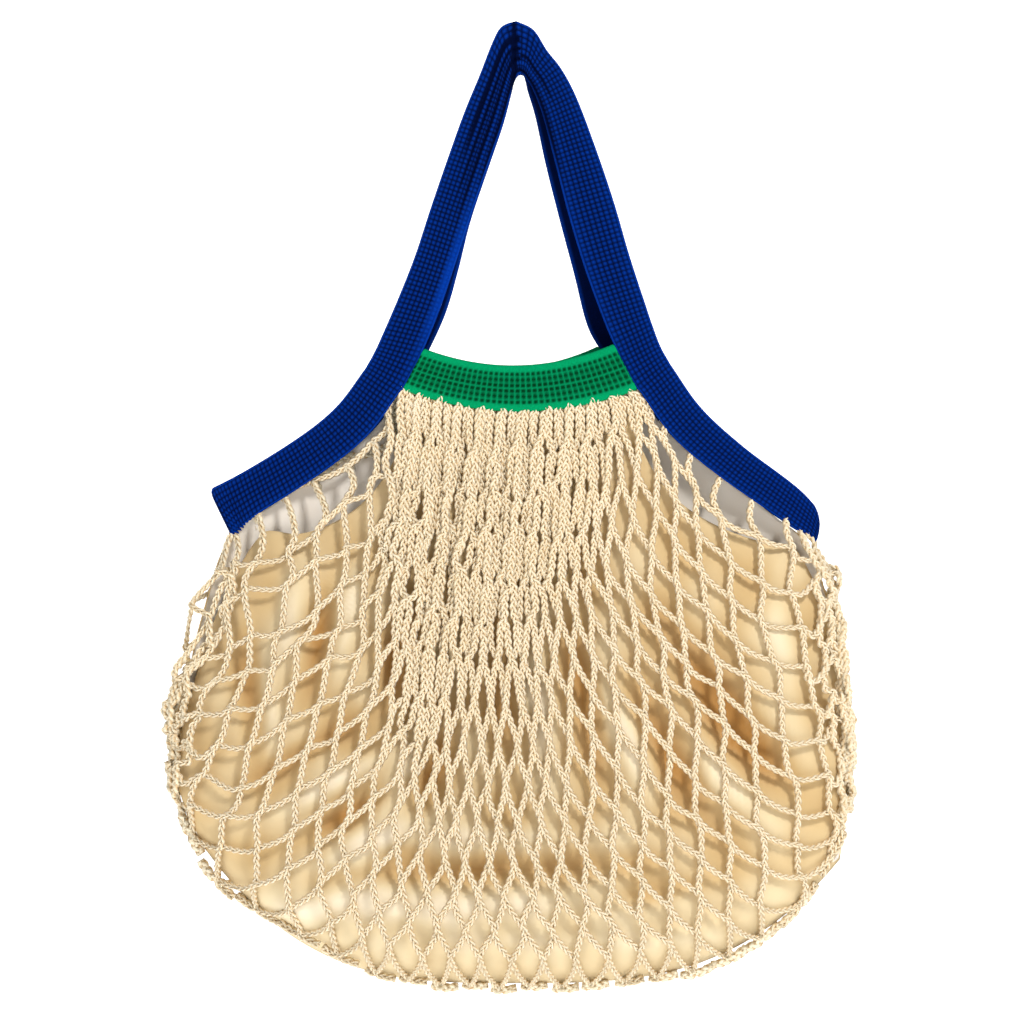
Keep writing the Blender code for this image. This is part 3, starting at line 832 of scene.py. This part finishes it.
# Outer edge of the tape along each armhole: down, x, z
armholeRows = {
    "right": ((0, 83, -163.5), (0.1333, 100, -187.5), (0.2667, 123.5, -209),
              (0.4, 157.5, -235), (7 / 15, 168.5, -247)),
    "left": ((0, -85.5, -166), (0.1333, -101.5, -187), (0.2667, -122.5, -204),
             (0.4, -157, -225), (7 / 15, -173, -233)),
}

# Both edges from the band up each leg to the peak: inner x and z, outer x and z, depth,
# and how far the back leg is shifted sideways
legRows = {
    "right": ((65, -178, 83, -163.5, 12, 0), (57.5, -165, 77.5, -153.5, 12.3, -4),
              (51.7, -152.5, 73, -141.5, 12.3, -8), (46, -139, 69.5, -131, 12, -9),
              (36, -111.3, 60.6, -103.5, 10.5, -6), (27.2, -82.3, 52.3, -74.6, 9, -5),
              (19.4, -51.7, 42.3, -44.5, 7, -5), (12.6, -25.4, 31.7, -16.1, 5, -4),
              (7.4, -11.4, 23.4, 0, 4, -3), (4, -5.4, 15, 11, 3.6, -1),
              (2, -2.6, 7.5, 22.5, 3.2, 0)),
    "left": ((-65, -178, -85.5, -166, 12, 0), (-58.6, -166.5, -81, -158, 12.3, 1),
             (-53, -155, -77, -149.5, 12.3, 2), (-44.5, -134, -67.5, -127.5, 11.8, 3),
             (-36.6, -110.7, -58.1, -103.5, 10.5, 2), (-27.6, -83, -49, -75.5, 9, 0),
             (-17, -51.7, -38.4, -44.5, 7, 0), (-9.5, -30, -30.5, -22.5, 5.4, 0),
             (-5, -13.5, -22.5, -3, 4.4, 0), (-3, -6, -15.5, 15, 3.6, 0),
             (-1.2, -2.6, -10.5, 24, 3.2, 0)),
}
peakRow = (0.4, -2.0, -2.5, 27.6, 3.0, 0)


def armholeEdges(side, down, way):
    # inner edge beside the net's edge, and outer edge from the table
    section = bodyRow(down)
    end = 1.0 if side == "right" else -1.0
    inner = sectionPoint(section, columnAngle(section, end), way)
    depth = way * np.hypot(inner[..., 1], tapeCut["endDepth"])
    outer = readTable(armholeRows[side], down)
    outer = np.stack((outer[..., 0], depth, outer[..., 1]), axis=-1)
    inner[..., 1] = depth
    inner += tapeCut["gap"] * unit(outer - inner)
    if side == "left":  # its end hangs open a little
        part, pace = tapeCut["ragged"]
        loose = bump(bagShape["sideDown"] - down, tapeCut["looseReach"])[..., None]
        inner += np.array(tapeCut["loose"]) * loose * (1 + part * np.sin(pace * down))[..., None]
    return inner, outer


def legEdges(side, at, way):
    # both edges at a place counted in rows of the leg's table, the peak being the last
    table = [(i, *row) for i, row in enumerate((*legRows[side], peakRow))]
    values = readTable(table, at)
    shift = values[..., 5] if way == back else 0 * values[..., 5]
    depth = way * values[..., 4]
    inner = np.stack((values[..., 0] + shift, depth, values[..., 1]), axis=-1)
    outer = np.stack((values[..., 2] + shift, depth, values[..., 3]), axis=-1)
    return inner, outer


def sideEdges(side, way):
    # half a tape, from the side fold up to the peak
    low, high = tapeCut["steps"]
    low = armholeEdges(side, np.linspace(bagShape["sideDown"], 0, low)[:-1], way)
    high = legEdges(side, np.linspace(0, len(legRows[side]), high), way)
    return [np.concatenate(pair) for pair in zip(low, high)]


def evenly(inner, outer, step):
    # both edges read again at equal steps along their middle line
    middle = (inner + outer) / 2
    run = np.append(0, np.cumsum(np.linalg.norm(np.diff(middle, axis=0), axis=-1)))
    count = int(round(run[-1] / step))
    at = np.linspace(0, run[-1], count + 1)
    return [np.stack([np.interp(at, run, edge[:, i]) for i in range(3)], -1)
            for edge in (inner, outer)], at


def roundCorners(inner, outer, run, corners):
    # both edges drawn in towards each end, as a quarter circle of each corner's radius
    across = unit(outer - inner)
    for fromEnd, radii in zip((run, run[-1] - run), corners):
        for edge, radius, sign in zip((inner, outer), radii, (1, -1)):
            near = np.clip(1 - fromEnd / radius, 0, 1)
            edge += sign * across * (radius * (1 - np.sqrt(1 - near ** 2)))[:, None]


def knitRibbon(inner, outer, way, cut, rise):
    # a closed band carried along two edges: its half thickness falls to nothing at both
    # edges as a root, and a grid of stitches stands up on its outside, each as the product
    # of a cosine along and one across; rise gives its lift, its creases and its smooth part
    (inner, outer), run = evenly(inner, outer, cut["pitch"] / cut["samples"])
    roundCorners(inner, outer, run, cut["corners"])
    across = np.linspace(0, 1, cut["holes"] * cut["samples"] + cut["selvedgeColumns"])
    backAcross = np.linspace(1, 0, cut["innerColumns"] + 2)[1:-1]
    width = outer - inner
    along = unit(np.gradient((inner + outer) / 2, axis=0))
    normal = unit(np.cross(along, width))
    normal *= np.where(normal[:, 1:2] * way < 0, -1, 1)

    def half(t):
        return cut["thickness"] / 2 * np.sqrt(np.clip(1 - (2 * t - 1) ** cut["squareness"], 0, 1))

    inside = (across - cut["selvedge"]) / (1 - 2 * cut["selvedge"])
    edges = (inside < 0) | (inside > 1)
    stitch = (np.abs(np.cos(np.pi * run / cut["pitch"]))[:, None]
              * np.abs(np.sin(np.pi * inside * cut["holes"]))[None, :])
    lift, dark, smooth = rise(run, across, inner, outer)
    holesAndShade = np.where(edges[None], 0, stitch if cut["open"] else 1 - stitch) * (1 - smooth)
    outside = (inner[:, None] + width[:, None] * across[None, :, None]
               + normal[:, None] * (half(across)[None] + lift - cut["holeDepth"] * holesAndShade)[..., None])
    liftBack = rise(run, backAcross, inner, outer)[0]
    inward = (inner[:, None] + width[:, None] * backAcross[None, :, None]
              + normal[:, None] * (liftBack - half(backAcross)[None])[..., None])
    points = np.concatenate((outside, inward), axis=1)
    count = points.shape[1]
    # painted shade: darker at the middle, in the holes and creases, over the whole inner face, and
    # less on the smooth part
    edgeShade, middleShade, holeShade = cut["shade"]
    shade = (edgeShade + middleShade * np.sin(np.pi * across)[None]) * (1 - smooth) + holeShade * holesAndShade
    shade = np.clip(shade + dark, 0, 1)
    shade = np.concatenate((shade, cut["inside"] + 0 * liftBack), axis=1)
    uv = sideBySide(run[:, None], np.arange(count))
    quads = gridQuads(len(run), count, closeColumns=True)
    if way == back:
        quads = quads[:, ::-1]
    return points.reshape(-1, 3), quads, uv.reshape(-1, 2), shade.ravel(), count


def closeEnds(quads, count, rings, way):
    # a fan of quads across each end of a closed band
    ends = []
    for first, turned in ((0, way == front), ((rings - 1) * count, way == back)):
        loop = first + np.arange(count)
        pairs = count // 2
        left, right = loop[:pairs], loop[::-1][:pairs]
        faces = np.stack((left[:-1], left[1:], right[1:], right[:-1]), axis=-1)
        ends.append(faces if not turned else faces[:, ::-1])
    return np.concatenate((quads, *ends))


def tapeRise(run, across, inner, outer):
    # a crown across the tape, and creases painted dark as painted shade that deepen up to the peak; on
    # the left leg the inner edge is turned, and smooth
    middle = (inner + outer) / 2
    x, z = middle[:, :1], middle[:, 2:]
    lift = (tapeCut["crown"] * np.minimum(1, np.abs(inner[:, 1:2]) / tapeCut["crownDepth"])
            * np.sin(np.pi * across)[None])
    dark = 0 * lift
    for side, sign in (("left", -1), ("right", 1)):
        for place, width, depth, low, high in tapeCut["creases"][side]:
            crease = smoothStep(low, high, z) * (x * sign > 0) * bump(across[None] - place, width)
            lift, dark = lift - depth * crease, dark + crease
    place, width, depth = tapeCut["peakCrease"]
    across = across[None]
    level = inner[:, :1] + (outer - inner)[:, :1] * across
    crease = bump(level - place, width) * smoothStep(*tapeCut["peakFade"], z)
    low, high, width, part = tapeCut["turned"]
    smooth = bump(z - (low + high) / 2, (high - low) / 2) * smoothStep(width, width / 2, across)
    smooth = part * (x < 0) * smooth
    return lift - depth * crease, dark + crease, smooth


def addRibbon(name, node, inner, outer, way, cut, rise, material):
    # a closed band as a piece that stands for its node
    # holes carries the painted shade of the holes, the creases and the inner face
    points, quads, uv, holes, count = knitRibbon(inner, outer, way, cut, rise)
    quads = closeEnds(quads, count, len(points) // count, way)
    piece = addPiece(name, points, quads, material, uv, {"holesAndShade": holes})
    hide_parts(node)
    return piece


def buildTape(name, node, way):
    # both halves end to end, with the peak's points once
    left, right = sideEdges("left", way), sideEdges("right", way)
    inner, outer = (np.concatenate((a, b[-2::-1])) for a, b in zip(left, right))
    piece = addRibbon(name, node, inner, outer, way, tapeCut, tapeRise, blueKnit)


bandCut = {
    "thickness": 2.2, "squareness": 8, "crown": 0.6, "sag": 10.5,
    "pitch": 3.1, "holes": 6, "samples": 4, "holeDepth": 0.8, "innerColumns": 9,
    "selvedge": 0.14, "selvedgeColumns": 5, "steps": 301,
    "topRow": 2,  # row of the legs' tables at its upper edge
    # painted shade: at the edges, more at the middle, in the holes, and over the inner face
    "shade": (0.04, 0.34, 0.95), "inside": 0.6, "corners": ((0.5, 0.5), (0.5, 0.5)),
    "open": True,  # holes between the stitches
    "flat": (0.118, 0.025),
}


def bandRise(run, across, inner, outer):
    # a low crown, no creases and no smooth part
    lift = bandCut["crown"] * np.sin(np.pi * across)[None] + 0 * run[:, None]
    return lift, 0 * lift, 0 * lift


def buildBand(name, node, way):
    # a strip from the net's top edge up to a sagging line between the two legs
    share = np.linspace(0, 1, bandCut["steps"])
    across = share * 2 - 1
    section = bodyRow(np.zeros_like(share))
    lower = sectionPoint(section, np.arcsin(across * np.sin(np.radians(section["wrap"]))), way)
    lowLeft, lowRight = (legEdges(side, np.array(0.0), way)[0] for side in ("left", "right"))
    topLeft, topRight = (legEdges(side, np.array(float(bandCut["topRow"])), way)[0]
                         for side in ("left", "right"))
    lower[:, 0] = lowLeft[0] + (lowRight[0] - lowLeft[0]) * share
    upper = lower.copy()
    upper[:, 0] = topLeft[0] + (topRight[0] - topLeft[0]) * share
    upper[:, 2] = (topLeft[2] + (topRight[2] - topLeft[2]) * share
                   - bandCut["sag"] * (1 - across ** 2))
    piece = addRibbon(name, node, lower, upper, way, bandCut, bandRise, greenKnit)


buildTape("tapeFront", "tape_front", front)
buildTape("tapeBack", "tape_back", back)
buildBand("bandFront", "band_front", front)
buildBand("bandBack", "band_back", back)

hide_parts("net")
print("net, lining, tapes and bands in place")


stageSet = {
    "camera": (-4.45, -1900.0, -245.4), "viewWidth": 569.8, "sensor": 36.0, "farthest": 20000.0,
    "floor": -760.0, "wall": 2800.0, "halfWidth": 4000.0, "near": -3200.0, "high": 4200.0,
    "corner": 700.0, "paper": "#fbfbfb", "glow": 0.75,
    "aim": (0, 0, -300), "surround": 0.26,  # where the lights point, and the even light
    # place and size of each light, and its power in watts
    "lights": {"keyLight": ((850, -1500, 1050), (350, 350), 33),
               "fillLight": ((-1300, -1300, 0), (1200, 1200), 5),
               "backLight": ((0, 1000, 1200), (1600, 1000), 6)},
}


def buildStage():
    # a white sweep: level floor, a quarter circle, then a wall
    s = stageSet
    turn = np.linspace(0, np.pi / 2, 13)
    curve = [(s["near"], s["floor"])]
    curve += [(s["wall"] - s["corner"] + s["corner"] * np.sin(a),
               s["floor"] + s["corner"] * (1 - np.cos(a))) for a in turn]
    curve += [(s["wall"], s["high"])]
    profile = np.array(curve)
    points = np.array([[(x, y, z) for x in (-s["halfWidth"], s["halfWidth"])] for y, z in profile])
    mesh = bpy.data.meshes.new("sweep")
    mesh.from_pydata((points.reshape(-1, 3) * mm).tolist(), [], gridQuads(len(profile), 2).tolist())
    mesh.shade_smooth()
    paint, shader, _ = newMaterial("mattWhitePaper", 1.0)
    shader.inputs["Base Color"].default_value = hexColor(s["paper"])
    shader.inputs["Emission Color"].default_value = (1, 1, 1, 1)
    shader.inputs["Emission Strength"].default_value = s["glow"]
    mesh.materials.append(paint)
    sweep = bpy.data.objects.new("sweep", mesh)
    bpy.context.scene.collection.objects.link(sweep)


def addAreaLight(name, place, size, power):
    # a soft rectangular lamp turned towards the aim
    lamp = bpy.data.lights.new(name, "AREA")
    lamp.shape = "RECTANGLE"
    lamp.size, lamp.size_y = (side * mm for side in size)
    lamp.energy = power
    light = bpy.data.objects.new(name, lamp)
    bpy.context.scene.collection.objects.link(light)
    light.location = [value * mm for value in place]
    direction = (np.array(stageSet["aim"]) - np.array(place)) * mm
    light.rotation_euler = Vector(direction).to_track_quat("-Z", "Y").to_euler()


def buildCameraAndLight():
    # a level camera whose lens takes in the view's width at the bag, three lamps and even light
    s = stageSet
    lens = bpy.data.cameras.new("camera")
    lens.sensor_width = s["sensor"]
    lens.lens = s["sensor"] * -s["camera"][1] / s["viewWidth"]
    lens.clip_end = s["farthest"] * mm
    camera = bpy.data.objects.new("camera", lens)
    bpy.context.scene.collection.objects.link(camera)
    camera.location = [value * mm for value in s["camera"]]
    camera.rotation_euler = (np.pi / 2, 0, 0)
    bpy.context.scene.camera = camera
    for name, lamp in s["lights"].items():
        addAreaLight(name, *lamp)
    world = bpy.data.worlds.new("studio")
    world.use_nodes = True
    sky = world.node_tree.nodes["Background"]
    sky.inputs["Color"].default_value = (1, 1, 1, 1)
    sky.inputs["Strength"].default_value = s["surround"]
    bpy.context.scene.world = world
    bpy.context.scene.view_settings.view_transform = "Standard"


buildStage()
buildCameraAndLight()
print("stage, camera and light ready")
